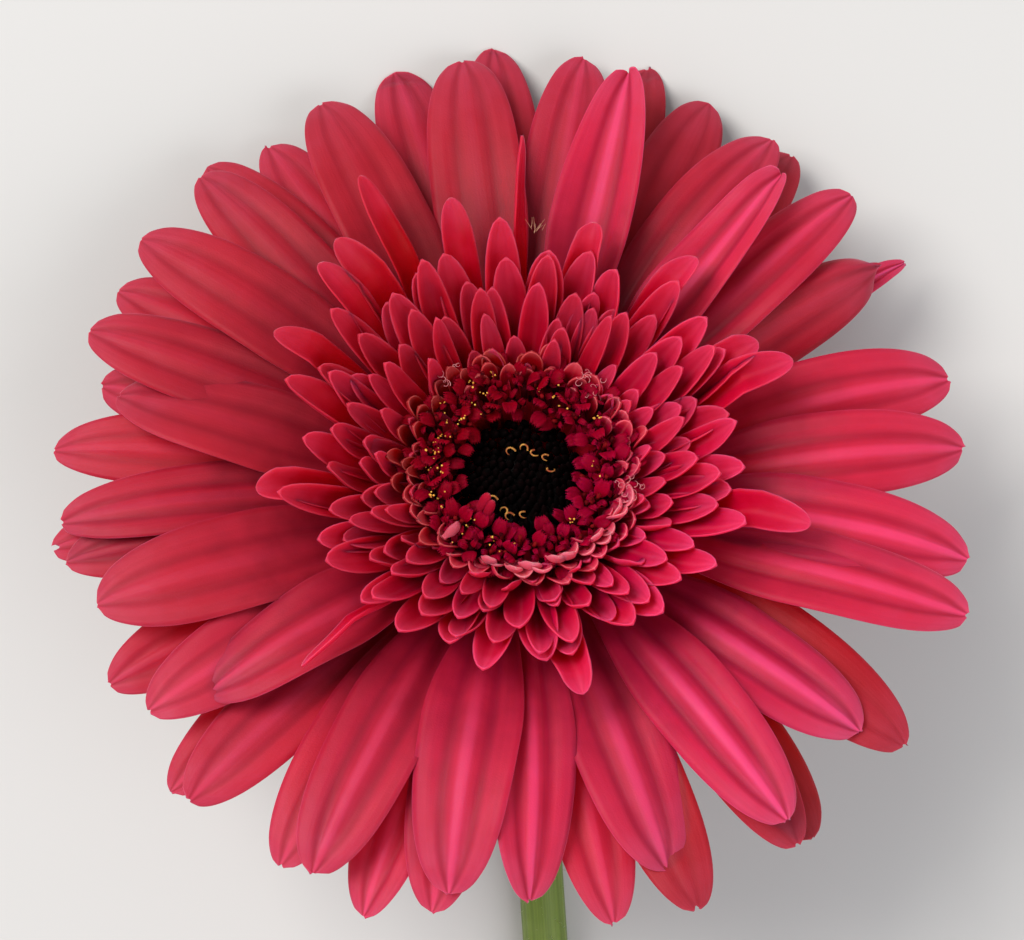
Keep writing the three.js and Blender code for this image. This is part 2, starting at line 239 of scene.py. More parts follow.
def make_stalk():
    bm = bmesh.new()
    along_layer = bm.verts.layers.float.new("along")
    round_layer = bm.verts.layers.float.new("round")
    middle_line = route()
    steps = len(middle_line)
    rings = [(point, STALK_RADIUS, i / steps) for i, point in enumerate(middle_line[:-1])]
    for height, radius in SWELLING + FLORET_BED:
        rings.append((stem_top + head_axis * height * 0.001, radius * 0.001, 1 + height * 0.01))
    edge = bmesh.ops.create_circle(bm, cap_ends=False, segments=STALK_SIDES, radius=1)["verts"]
    total = len(rings)
    for i, (point, radius, along) in enumerate(rings):
        before, after = rings[max(0, i - 1)][0], rings[min(total - 1, i + 1)][0]
        turn = (after - before).to_track_quat("Z", "X")
        if i:
            lines = {line for vertex in edge for line in vertex.link_edges if line.other_vert(vertex) in edge}
            made = bmesh.ops.extrude_edge_only(bm, edges=list(lines))["geom"]
            edge = [item for item in made if isinstance(item, bmesh.types.BMVert)]
        for vertex in edge:
            if not i:
                vertex[round_layer] = math.atan2(vertex.co.y, vertex.co.x)
            angle = vertex[round_layer]
            ribbed = radius * (1 + STALK_RIB_DEPTH * math.cos(STALK_RIBS * angle) * (along < 1))
            vertex.co = point + turn @ Vector((math.cos(angle), math.sin(angle), 0)) * ribbed
            vertex[along_layer] = along
    bmesh.ops.holes_fill(bm, edges=bm.edges)
    return bm, middle_line


CUT_SLANT = math.radians(40)
CUT_RIM = (0.00035, 0.0008)  # widths of the two steps from the skin in to the flesh
CUT_SINK = 0.00005
stalk, stalk_line = make_stalk()
cut_normal = Vector((0, math.cos(CUT_SLANT), math.sin(CUT_SLANT)))
cut = bmesh.ops.bisect_plane(
    stalk,
    geom=stalk.verts[:] + stalk.edges[:] + stalk.faces[:],
    plane_co=Vector((0, stem_low.y, 2 * STALK_RADIUS)),
    plane_no=cut_normal,
    clear_inner=True,
)
cut_edges = [item for item in cut["geom_cut"] if isinstance(item, bmesh.types.BMEdge)]
cut_face = bmesh.ops.holes_fill(stalk, edges=cut_edges)["faces"]
flesh_layer = stalk.verts.layers.float.new("flesh")
for width in CUT_RIM:
    bmesh.ops.inset_region(stalk, faces=cut_face, thickness=width, depth=-CUT_SINK)
    for vertex in {vertex for face in cut_face for vertex in face.verts}:
        vertex[flesh_layer] = 1


def make_stalk_material():
    """Satin green skin with faint lengthwise streaks, browner towards the cut. The cut face is pale flesh and
    the floret bed is nearly black."""
    settings = {
        "Specular IOR Level": 0.4,
        "Subsurface Weight": 0.1,
        "Subsurface Radius": (0.4, 1, 0.2),
        "Subsurface Scale": 0.001,
        "Sheen Weight": 0.15,
    }
    material, shader, w = new_material("stalk_green", settings)
    place = w.node("ShaderNodeTexCoord").outputs["Object"]
    along, turn, flesh = w.attribute("along"), w.attribute("round"), w.attribute("flesh")
    streak_round = w.times(w.math("SINE", turn), 9.0)
    streak_place = w.vector(streak_round, w.times(along, 14.0), 0.0)
    streaks = w.noise(streak_place, 1.0, 3)
    mottle = w.noise(place, 90, 3)
    fine = w.noise(place, 3200, 2)
    colour = w.mix(w.band(streaks, 0.35, 0.7), (0.125, 0.19, 0.018, 1), (0.19, 0.27, 0.032, 1))
    colour = w.mix(w.times(w.band(mottle, 0.5, 0.8), 0.4), colour, (0.27, 0.33, 0.09, 1))
    up = w.plus(along, w.times(mottle, 0.1))
    foot = w.minus(1.0, w.band(up, 0.02, 0.3))
    colour = w.mix(w.times(foot, 0.55), colour, (0.26, 0.15, 0.06, 1))
    pith = w.mix(w.band(fine, 0.4, 0.7), (0.48, 0.55, 0.24, 1), (0.66, 0.7, 0.42, 1))
    colour = w.mix(flesh, colour, pith)
    colour = w.mix(w.band(along, 1.08, 1.087), colour, (0.004, 0.0, 0.0005, 1))
    w.join(colour, shader.inputs["Base Color"])
    w.join(w.plus(0.38, w.times(fine, 0.2)), shader.inputs["Roughness"])
    w.relief(w.plus(streaks, w.times(fine, 0.4)), 0.5, 0.0002, shader)
    return material


stalk_green = make_stalk_material()
put("stalk", stalk, stalk_green, "stem", "stem")

# ---- Stalk hairs ----
# Fine translucent hairs stand off the stalk all along it. They grow out of its skin, and lean at random
# towards either end.
HAIR_COUNT = 1500
HAIR_LENGTH = (0.0004, 0.0011)
HAIR_RADIUS = 0.00003
HAIR_SIDES = 3


def make_hairs():
    chance = random.Random(7)
    bm = bmesh.new()
    last = len(stalk_line) - 2
    for _ in range(HAIR_COUNT):
        i = 4 + int((last - 4) * chance.random() ** 0.8)
        share = chance.random()
        point = stalk_line[i].lerp(stalk_line[i + 1], share)
        ahead = (stalk_line[i + 1] - stalk_line[i]).normalized()
        sideways = ahead.cross(Vector((0, 0, 1))).normalized()
        outward = Quaternion(ahead, chance.uniform(0, 2 * math.pi)) @ sideways
        if outward.z < -0.55:
            outward.z = -outward.z
        lean = (outward + ahead * chance.uniform(-0.5, 0.7)).normalized()
        length = chance.uniform(*HAIR_LENGTH)
        middle = point + outward * STALK_RADIUS * 0.985 + lean * length / 2
        bmesh.ops.create_cone(
            bm,
            cap_ends=True,
            segments=HAIR_SIDES,
            radius1=HAIR_RADIUS,
            radius2=HAIR_RADIUS * 0.25,
            depth=length,
            matrix=Matrix.Translation(middle) @ lean.to_track_quat("Z", "Y").to_matrix().to_4x4(),
        )
    return bm


def make_hair_material():
    """Colourless hair that takes its colour from the light, a little greener at random."""
    settings = {"Roughness": 0.4, "Subsurface Weight": 0.3, "Subsurface Scale": 0.0005}
    material, shader, w = new_material("hair_pale", settings)
    place = w.node("ShaderNodeTexCoord").outputs["Object"]
    colour = w.mix(w.noise(place, 700, 2), (0.3, 0.38, 0.14, 1), (0.55, 0.6, 0.38, 1))
    w.join(colour, shader.inputs["Base Color"])
    return material


put("stalk_hairs", make_hairs(), make_hair_material(), "stem")

# ---- Bracts ----
# Two rows of narrow pointed green leaves clasp the receptacle. Each grows from the pad's underside and
# stands out under the petals, downy, with a dark tip.


def in_head(node):
    """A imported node's corners in the head's frame, in millimetres."""
    return np.array([HEAD.inverted() @ Vector(place) for place in corners(node)])


def smoothstep(low, high, x):
    x = min(1, max(0, (x - low) / (high - low)))
    return x * x * (3 - 2 * x)


def new_group(name, inputs, outputs):
    """An empty shader group with its sockets: {name: (socket type, default)}."""
    group = bpy.data.node_groups.new(name, "ShaderNodeTree")
    for in_out, sockets in (("INPUT", inputs), ("OUTPUT", outputs)):
        for label, (kind, default) in sockets.items():
            socket = group.interface.new_socket(label, in_out=in_out, socket_type=kind)
            if default is not None:
                socket.default_value = default
    return group


COLOUR, VALUE = "NodeSocketColor", "NodeSocketFloat"


def make_leaf_skin():
    """The colour and relief that every petal and leaf shares: lengthwise veins, painted shade in the furrows,
    a painted highlight along the middle ridge, a pale margin, a base-to-tip change of colour, mottling, a
    duller underside, and painted light that makes each petal brighter where light falls on it and darker in
    shade."""
    group = new_group(
        "leaf_skin",
        {
            "Base": (COLOUR, (0.2, 0, 0.02, 1)),
            "Middle": (COLOUR, (0.5, 0.02, 0.08, 1)),
            "Tip": (COLOUR, (0.7, 0.08, 0.2, 1)),
            "Margin": (COLOUR, (0.8, 0.2, 0.3, 1)),
            "Under": (COLOUR, (0.5, 0.05, 0.1, 1)),
            "Fade Start": (VALUE, 0.1),
            "Fade End": (VALUE, 0.55),
            "Tip Start": (VALUE, 0.75),
            "Veins": (VALUE, 0.5),
            "Furrow Shade And Ridge Highlight": (VALUE, 0.5),
            "Vein Count": (VALUE, 16.0),
            "Margin Width": (VALUE, 0.08),
        },
        {"Color": (COLOUR, None), "Height": (VALUE, None), "Roughness": (VALUE, None)},
    )
    w = Wiring(group)
    given = w.node("NodeGroupInput").outputs
    result = w.node("NodeGroupOutput").inputs
    across, along = w.attribute("across"), w.attribute("along")
    painted_light_and_tone, under = w.attribute("painted_light_and_tone"), w.attribute("under")
    side = w.math("ABSOLUTE", across)

    place = w.node("ShaderNodeTexCoord").outputs["Object"]
    mottle = w.noise(place, 260, 3)
    cells = w.noise(place, 5200, 1)
    vein_place = w.vector(
        w.times(across, given["Vein Count"]),
        w.times(along, 1.6),
        w.times(painted_light_and_tone, 40.0),
    )
    veins = w.band(w.noise(vein_place, 0.5, 1), 0.3, 0.7)
    fine_place = w.vector(
        w.times(across, w.times(given["Vein Count"], 3.5)),
        w.times(along, 5.0),
        w.times(painted_light_and_tone, 90.0),
    )
    fine = w.noise(fine_place, 0.5, 2)
    # Painted shade: the colour darkens towards the base colour along the two furrows, more on petals painted
    # brighter.
    furrow_place = w.minus(0.38, w.times(w.band(along, 0.7, 1.0), 0.2))
    furrow_line = w.math("ABSOLUTE", w.minus(side, furrow_place))
    furrow_shade = w.minus(1.0, w.band(furrow_line, 0.0, 0.2), clamp=True)
    furrow_shade = w.times(furrow_shade, given["Furrow Shade And Ridge Highlight"])
    furrow_shade = w.times(furrow_shade, w.plus(0.55, w.times(painted_light_and_tone, 0.6)), clamp=True)

    wander = w.times(w.minus(mottle, 0.5), 0.25)
    up = w.plus(along, wander)
    colour = w.mix(w.band(up, given["Fade Start"], given["Fade End"]), given["Base"], given["Middle"])
    colour = w.mix(w.band(up, given["Tip Start"], 1.05), colour, given["Tip"])
    shade = w.times(given["Veins"], w.times(w.minus(1.0, veins), 0.35))
    colour = w.mix(shade, colour, given["Base"])
    colour = w.mix(w.times(furrow_shade, 0.95), colour, given["Base"])
    # Painted highlight: a pale line in the margin colour along the middle ridge, stronger on petals painted
    # brighter.
    ridge = w.minus(1.0, w.band(side, 0.04, 0.2), clamp=True)
    ridge = w.times(ridge, given["Furrow Shade And Ridge Highlight"])
    ridge = w.times(ridge, w.times(w.band(along, 0.2, 0.5), 0.7))
    ridge = w.times(ridge, w.times(painted_light_and_tone, 1.3), clamp=True)
    colour = w.mix(ridge, colour, given["Margin"])
    glow = w.times(w.band(fine, 0.5, 0.8), w.times(given["Veins"], 0.15))
    colour = w.mix(glow, colour, given["Tip"])
    edge = w.band(side, w.minus(1.0, given["Margin Width"]), 1.0)
    near_tip = w.band(along, w.minus(1.0, w.times(given["Margin Width"], 0.7)), 1.0)
    margin = w.math("MAXIMUM", edge, near_tip)
    margin = w.times(margin, w.band(along, 0.35, 0.85))
    colour = w.mix(w.times(margin, 0.36), colour, given["Margin"])
    colour = w.mix(w.times(under, 0.85), colour, given["Under"])

    # Painted light: hue and brightness follow each petal's value of painted light and random tone, pinker and
    # brighter where light falls, darker in shade; mottling varies it at random.
    shift = w.node("ShaderNodeHueSaturation")
    w.join(colour, shift.inputs["Color"])
    painted_light_hue = w.times(w.minus(painted_light_and_tone, 0.5), -0.008)
    w.join(w.plus(0.5, painted_light_hue), shift.inputs["Hue"])
    painted_light_and_mottle = w.plus(w.times(painted_light_and_tone, 0.44), w.times(mottle, 0.16))
    w.join(w.plus(0.675, painted_light_and_mottle), shift.inputs["Value"])
    w.join(shift.outputs["Color"], result["Color"])

    height = w.plus(w.times(veins, 0.7), w.times(fine, 0.5))
    height = w.times(height, given["Veins"])
    w.join(w.plus(height, w.times(cells, 0.35)), result["Height"])
    w.join(w.plus(0.44, w.times(cells, 0.16)), result["Roughness"])
    return group


leaf_skin = make_leaf_skin()
PETAL_SHEEN = (1, 0.3, 0.45, 1)


def leaf_material(name, colours, relief=0.0001, sheen=0.16, sheen_tint=PETAL_SHEEN, glow=0.5, shine=0.16):
    """A petal's or leaf's material: the shared skin in its own colours, velvety, with light let through."""
    settings = {
        "Specular IOR Level": shine,
        "Sheen Weight": sheen,
        "Sheen Roughness": 0.4,
        "Sheen Tint": sheen_tint,
        "Subsurface Weight": glow,
        "Subsurface Radius": (1, 0.22, 0.2),
        "Subsurface Scale": 0.003,
    }
    material, shader, w = new_material(name, settings)
    skin = w.node("ShaderNodeGroup", node_tree=leaf_skin)
    for key, value in colours.items():
        skin.inputs[key].default_value = value
    w.join(skin.outputs["Color"], shader.inputs["Base Color"])
    w.join(skin.outputs["Roughness"], shader.inputs["Roughness"])
    w.relief(skin.outputs["Height"], 0.6, relief, shader)
    return material


LEAF_LAYERS = ("across", "along", "painted_light_and_tone", "under")
# Heights of a leaf's two faces where it lies on the floor, in metres
LYING_UPPER, LYING_UNDER = 0.0004, 0.0001


def on_head(bm):
    """Moves a mesh from the head's own frame to its place in the scene."""
    bmesh.ops.transform(bm, matrix=HEAD, verts=bm.verts)
    return bm


def lie_down(bm):
    """Puts a leaf's mesh on the head. What would sink into the floor lies flat on it."""
    under = bm.verts.layers.float["under"]
    for vertex in on_head(bm).verts:
        vertex.co.z = max(vertex.co.z, LYING_UPPER + (LYING_UNDER - LYING_UPPER) * vertex[under])
    return bm


def blade(bm, across, along, place, thickness, painted_light_and_tone):
    """Adds a thin closed leaf. place(u, v) is its upper face: u is -1 to 1 across, v is 0 to 1 along it."""
    layers = {}
    for name in LEAF_LAYERS:
        layers[name] = bm.verts.layers.float.get(name) or bm.verts.layers.float.new(name)
    lower = bmesh.ops.create_grid(bm, x_segments=across, y_segments=along, size=1)["verts"]
    step = 0.02
    for vertex in lower:
        u, v = vertex.co.x, (vertex.co.y + 1) / 2
        vertex[layers["across"]] = u
        vertex[layers["along"]] = v
        vertex[layers["painted_light_and_tone"]] = painted_light_and_tone
        vertex.co = place(u, v)
    faces = list({face for vertex in lower for face in vertex.link_faces})
    bmesh.ops.extrude_face_region(bm, geom=faces, use_keep_orig=True)
    for vertex in lower:
        u, v = vertex[layers["across"]], vertex[layers["along"]]
        sideways = place(min(1, u + step), v) - place(max(-1, u - step), v)
        lengthways = place(u, min(1, v + step)) - place(u, max(0, v - step))
        normal = sideways.cross(lengthways).normalized()
        vertex.co -= normal * thickness * (1 - 0.55 * u**4)
        vertex[layers["under"]] = 1


BRACT_ROWS = (("bracts_row_1", 16, 4.2), ("bracts_row_2", 17, 4.4))
BRACT_THICKNESS = 0.45
bract_green = leaf_material(
    "bract_green",
    {
        "Base": (0.16, 0.2, 0.05, 1),
        "Middle": (0.09, 0.14, 0.025, 1),
        "Tip": (0.13, 0.06, 0.03, 1),
        "Margin": (0.24, 0.28, 0.1, 1),
        "Under": (0.13, 0.18, 0.05, 1),
        "Fade Start": 0.05,
        "Fade End": 0.5,
        "Tip Start": 0.8,
        "Veins": 0.7,
        "Furrow Shade And Ridge Highlight": 0.2,
        "Vein Count": 9.0,
        "Margin Width": 0.14,
    },
    relief=0.0002,
    sheen_tint=(0.85, 1, 0.7, 1),
)


def around(radius, azimuth, height):
    """A place in the head's frame, in millimetres; azimuth in degrees."""
    angle = math.radians(azimuth)
    return Vector((radius * math.cos(angle), radius * math.sin(angle), height))


ROW_RING = 0.6  # width in millimetres of the ring of tissue that joins a packed row at its base
ROW_BASE = 0.4  # from the inside of that ring to where the modelled leaves start


def row_profile(node):
    """The curve that a packed row of leaves follows: its base and tip radius, and its height at a radius."""
    places = in_head(node)
    radii = np.hypot(places[:, 0], places[:, 1])
    beyond = radii > radii.min() + ROW_RING
    curve = np.polyfit(radii[beyond], places[beyond, 2], 3)
    return radii.min() + ROW_BASE, radii.max(), lambda radius: float(np.polyval(curve, radius))


def bract_width(v):
    return (0.75 + 0.25 * smoothstep(0, 0.3, v)) * max(0.03, 1 - v**2.6) ** 0.8


def make_bract_row(node, count, width, chance):
    bm = bmesh.new()
    base, tip, height = row_profile(node)
    for i in range(count):
        azimuth = (i + 0.5 * (node[-1] == "2")) * 360 / count + chance.uniform(-2.5, 2.5)
        reach = (tip - base) * chance.uniform(0.88, 1.04)
        lift, skew = chance.uniform(-0.5, 0.8), chance.uniform(-4, 4)

        def place(u, v):
            radius = base + reach * v
            sideways = u * width / 2 * bract_width(v)
            turn = azimuth + skew * v**2
            point = around(radius, turn, height(radius) + lift * v**2 - 0.1 * u * u * width * (1 - v))
            return point + around(sideways, turn + 90, 0.0)

        blade(bm, 6, 14, place, BRACT_THICKNESS, chance.random())
    return lie_down(bm)


bract_chance = random.Random(11)
for node, count, width in BRACT_ROWS:
    put(f"green_{node}", make_bract_row(node, count, width, bract_chance), bract_green, "bracts", node)

# ---- Ray florets ----
# Fifty long petals in five overlapping levels. Each is a thin velvety blade with two lengthwise furrows
# that draw together towards its tip. It springs from the edge of the floret bed on a narrow claw.
RAY_COUNT = 50
RAY_STATIONS = 7
RAY_THICKNESS = 0.34
RAY_ACROSS = 14
RAY_ALONG = 40
FURROW_PLACE = 0.38  # from the middle line to the edge
FURROW_DEPTH = 0.7
NOTCH = 0.006  # of the length

# What sets some rays apart. In degrees: the twist from base to tip. In millimetres: the droop of the tip, the
# sink of the blade, its bend sideways and its fold about a ridge, whose place is from -1 to 1 across it.
# Against the usual ray: point, notch and narrow multiply its tip, notch and width, longer is a share of its
# length, and the darkening habit is painted shade for a ray that lies in shadow, or below 0 painted light.
RAY_HABITS = {
    3: {
        "droop": -2,
        "point": 0.95,
        "narrow": 0.45,
        "bend": -1.2,
        "longer": 0.08,
        "dark": -0.4,
        "sink": 1.8,
    },
    4: {"twist": 13, "fold": -3.6, "ridge": -0.45, "droop": -2.5, "dark": 0.3, "bend": 0.6},
    6: {"droop": 1.5, "dark": 0.6},
    7: {"twist": -8, "fold": 1.9, "point": 1.35, "droop": -2, "dark": -0.45},
    8: {"dark": 0.25},
    9: {"dark": 0.3},
    10: {"dark": 0.45},
    11: {"twist": -12, "fold": 2.2, "point": 1.4, "droop": -2.5, "dark": -0.5},
    16: {"twist": 10},
    24: {"twist": 12, "droop": 0.5},
    26: {"notch": 3},
    32: {"twist": 8, "droop": 1.5},
    39: {"droop": 2},
    40: {"twist": -10, "droop": 2, "dark": -0.1},
    41: {"dark": 0.35},
    42: {"droop": -1},
    43: {"notch": 3, "dark": 1},
    44: {"dark": 1.5},
    45: {"dark": 1},
    46: {"dark": -0.15},
    47: {"droop": -1.3, "dark": -0.15},
    48: {"dark": 1.1},
}
ray_velvet = leaf_material(
    "ray_velvet",
    {
        "Base": (0.2, 0.0, 0.012, 1),
        "Middle": (0.48, 0.011, 0.038, 1),
        "Tip": (0.47, 0.04, 0.09, 1),
        "Margin": (0.87, 0.055, 0.155, 1),
        "Under": (0.42, 0.02, 0.05, 1),
        "Fade Start": 0.08,
        "Fade End": 0.56,
        "Tip Start": 0.5,
        "Veins": 0.3,
        "Furrow Shade And Ridge Highlight": 0.6,
        "Vein Count": 16.0,
        "Margin Width": 0.035,
    },
)


def painted_light_level(azimuth, chance):
    """Painted light, 0 to 1: how pink and bright a floret is painted, most on the head's lower right side."""
    return 0.5 + 0.36 * math.cos(math.radians(azimuth + 40)) + chance.uniform(-0.13, 0.13)


def bump_at(x, centre, width):
    return math.exp(-(((x - centre) / width) ** 2))


def ray_width(v, point):
    claw = 0.27 + 0.73 * smoothstep(0, 0.55, v)
    return claw * math.sqrt(max(0.001, 1 - max(0, (v - 0.58) / 0.42) ** (2.7 / point)))


def read_ray(node):
    """The middle line of a packed ray as three curves of its share of length, and its width."""
    places = in_head(node)
    tip = places[np.hypot(places[:, 0], places[:, 1]).argmax()]
    outward = np.array((tip[0], tip[1], 0)) / math.hypot(tip[0], tip[1])
    groups = np.array_split(places[(places @ outward).argsort()], RAY_STATIONS)
    middles = np.array([group.mean(axis=0) for group in groups])
    sideways = np.array((-outward[1], outward[0], 0))
    width = max(np.ptp(group @ sideways) for group in groups)
    shares = np.linspace(0, 1, RAY_STATIONS)
    return [np.polyfit(shares, middles[:, i], 4) for i in range(3)], width


def make_ray(number, chance):
    curves, width = read_ray(f"ray_floret_{number:02d}")
    slopes = [np.polyder(curve) for curve in curves]
    habit = RAY_HABITS.get(number, {})
    twist = habit.get("twist", 0) + chance.uniform(-9, 9)
    droop = habit.get("droop", 0) + chance.uniform(-0.6, 1.6)
    fold, ridge, sink = habit.get("fold", 0), habit.get("ridge", 0), habit.get("sink", 0)
    point = habit.get("point", 1) * chance.uniform(0.92, 1.18)
    bend = habit.get("bend", chance.uniform(-1.6, 1.6))
    wave, wave_place = chance.uniform(0.1, 0.55), chance.uniform(0, 1)
    hollow, crown_curve = chance.uniform(0.016, 0.03), chance.uniform(0.014, 0.032)
    azimuth = math.degrees(math.atan2(curves[1][:-1].sum(), curves[0][:-1].sum()))
    # Painted light and shade: the ray's side of the head sets how bright it is painted, and the darkening
    # habit paints shade on a ray that lies in shadow.
    painted_light_and_tone = painted_light_level(azimuth, chance) - habit.get("dark", 0)
    furrow_depth = FURROW_DEPTH * chance.uniform(0.5, 1.2) * (0.7 + 0.55 * painted_light_and_tone)
    third_furrow = chance.choice((0, 0, 0.6))
    notch = habit.get("notch", 1) * NOTCH * chance.uniform(0, 1.6)
    lopsided = chance.uniform(-0.005, 0.005)
    half = width / 2 * chance.uniform(0.98, 1.06) * habit.get("narrow", 1)
    rearward = curves[1][-1] / math.hypot(curves[0][-1], curves[1][-1])
    stretch = 1.012 + 0.024 * smoothstep(0.3, 0.95, rearward) + habit.get("longer", 0)

    def place(u, v):
        v = 1 - (1 - v) ** 1.6
        tipward = smoothstep(0.8, 1, v)
        v = v - tipward * (0.012 * abs(u) ** 2.5 + notch * bump_at(u, 0, 0.3) + lopsided * u)
        middle = Vector([float(np.polyval(curve, v * stretch)) for curve in curves])
        ahead = Vector([float(np.polyval(slope, v * stretch)) for slope in slopes]).normalized()
        side = ahead.cross(Vector((0, 0, 1))).normalized()
        up = side.cross(ahead)
        turn = Quaternion(ahead, math.radians(twist) * smoothstep(0.15, 0.75, v))
        side, up = turn @ side, turn @ up
        across = u * half * ray_width(v, point)
        rise = across * across * (hollow * (1 - v) - crown_curve * smoothstep(0.35, 0.95, v))
        furrow_place = FURROW_PLACE - 0.2 * smoothstep(0.7, 1, v)
        depth = furrow_depth * smoothstep(0.06, 0.4, v) * (1 - 0.35 * v)
        depth *= min(1, 1.5 * ray_width(v, point))
        rise -= depth * (bump_at(abs(u), furrow_place, 0.17) - 0.25 * bump_at(u, 0, 0.2))
        rise -= third_furrow * depth * bump_at(u, 0, 0.1)
        rise += fold * abs(u - ridge) * smoothstep(0.1, 0.5, v) * (1 - 0.3 * v)
        rise -= sink * smoothstep(0.1, 0.35, v)
        rise += wave * math.sin(2 * math.pi * (1.4 * v + wave_place)) * u * smoothstep(0.2, 0.6, v)
        rise -= droop * smoothstep(0.55, 1.05, v) ** 1.5 + 0.5 * smoothstep(0.93, 1, v)
        return middle + side * (across + bend * v * v) + up * rise

    bm = bmesh.new()
    blade(bm, RAY_ACROSS, RAY_ALONG, place, RAY_THICKNESS, painted_light_and_tone)
    return lie_down(bm)


ray_chance = random.Random(23)
for number in range(1, RAY_COUNT + 1):
    node = f"ray_floret_{number:02d}"
    put(f"ray_petal_{number:02d}", make_ray(number, ray_chance), ray_velvet, "ray_florets", node)

# ---- Trans florets ----
# Five rows of short petals stand up between the rays and the disc. Each is a narrow cupped tongue, velvety,
# deep crimson at the foot and pink towards its blunt tip. They grow from the bed as the rays do.
TRANS_ROWS = (  # node, count and width in millimetres
    ("trans_florets_row_1", 30, 4.4),
    ("trans_florets_row_2", 32, 3.9),
    ("trans_florets_row_3", 33, 3.4),
    ("trans_florets_row_4", 32, 3.0),
    ("trans_florets_row_5", 31, 2.6),
)
TRANS_THICKNESS = 0.34
LONG_TRANS_SAG = 2.5  # millimetres below the row's own curve
# Florets that outgrow their row: azimuth, tip radius, width, twist in degrees
LONG_TRANS = (
    (90.5, 42, 2.6, 70),
    (120.5, 41.5, 3.6, 25),
    (127, 36, 4.4, -15),
    (137.5, 35, 4.2, 20),
    (151.5, 34, 4.2, 10),
    (106.5, 34.5, 4, 0),
    (19.5, 35.5, 4.6, 0),
    (345, 36.5, 4.6, 8),
    (50, 33.5, 4.6, -20),
    (24.5, 32.5, 4.8, 0),
    (226.5, 38, 2.4, 60),
    (283.5, 32, 4.6, 10),
    (190, 32.5, 4.8, 0),
    (72, 31.5, 4.4, -15),
)
trans_velvet = leaf_material(
    "trans_velvet",
    {
        "Base": (0.33, 0.0, 0.01, 1),
        "Middle": (0.46, 0.0, 0.02, 1),
        "Tip": (0.66, 0.03, 0.095, 1),
        "Margin": (0.72, 0.08, 0.14, 1),
        "Under": (0.5, 0.012, 0.05, 1),
        "Fade Start": 0.25,
        "Fade End": 0.7,
        "Tip Start": 0.5,
        "Veins": 0.25,
        "Furrow Shade And Ridge Highlight": 0.15,
        "Vein Count": 7.0,
        "Margin Width": 0.1,
    },
    sheen=0.03,
    shine=0.06,
    glow=0.8,
)


def trans_width(v):
    claw = 0.42 + 0.58 * smoothstep(0, 0.7, v)
    return claw * math.sqrt(max(0.006, 1 - max(0, (v - 0.66) / 0.34) ** 2.6))


def add_trans_floret(
    bm, base, tip, height, azimuth, width, twist, lift, curl, chance, across=6, along=14, painted_light_gain=1.2
):
    """One tongue that follows its row's curve, height(radius), from the base radius to the tip radius. The
    last argument is how much brighter it is painted towards the head's lower right side, as painted light."""
    cup = chance.uniform(0.1, 0.2)
    skew = chance.uniform(-2.5, 2.5)

    def place(u, v):
        v = 1 - (1 - v) ** 1.5
        radius = base + (tip - base) * v
        slope = (height(radius + 0.3) - height(radius - 0.3)) / 0.6
        ahead = Vector((tip - base, 0, slope * (tip - base))).normalized()
        up = Vector((-ahead.z, 0, ahead.x))
        side = Vector((0, -1, 0))
        turn = Quaternion(ahead, math.radians(twist) * smoothstep(0.1, 0.8, v))
        across_by = u * width / 2 * trans_width(v)
        rise = cup * across_by**2 * 2 + lift * smoothstep(0.1, 0.7, v) + curl * smoothstep(0.7, 1, v) ** 2
        point = Vector((radius, 0, height(radius))) + turn @ (side * across_by + up * rise)
        spin = Matrix.Rotation(math.radians(azimuth + skew * v * v), 3, "Z")
        return spin @ point

    # Painted light: each tongue is painted brighter towards the head's lower right side.
    blade(bm, across, along, place, TRANS_THICKNESS, painted_light_gain * (painted_light_level(azimuth, chance) - 0.5) + 0.42)


def make_trans_row(node, count, width, chance):
    bm = bmesh.new()
    row = int(node[-1]) - 1
    base, tip, height = row_profile(node)
    for i in range(count):
        azimuth = (i + 0.37 * row) * 360 / count + chance.uniform(-2.6, 2.6)
        reach = tip + chance.uniform(-2.2, 1.4) - 0.8 * (i % 2)
        add_trans_floret(
            bm,
            base,
            reach,
            height,
            azimuth,
            width * chance.uniform(0.85, 1.12),
            chance.gauss(0, 12),
            0.45 * (i % 2) + chance.uniform(-0.15, 0.35),
            chance.uniform(-0.2, 1.5),
            chance,
        )
    if row == 0:
        def level(radius):
            return height(min(radius, tip)) - LONG_TRANS_SAG * smoothstep(base, tip, radius)

        for azimuth, reach, long_width, twist in LONG_TRANS:
            add_trans_floret(bm, base, reach, level, azimuth, long_width, twist, 0, 0.6, chance, 8, 20)
    return on_head(bm)


trans_chance = random.Random(31)
for node, count, width in TRANS_ROWS:
    trans_row = make_trans_row(node, count, width, trans_chance)
    put(f"red_{node}", trans_row, trans_velvet, "trans_florets", node)

# ---- Inner trans florets ----
# Inside the five rows the petals go on shrinking, three rows more, into tiny curled tongues. They are deep
# crimson with paler, slightly peach rims, and stand just outside the open disc florets.
INNER_ROWS = (
    (15.4, 29, 2.6, 3.0, 3.6),
    (14.1, 28, 2.3, 2.6, 3.1),
    (12.9, 26, 2.0, 2.1, 2.6),
)  # tip radius, count, width, base radius behind the tip, height of the tips
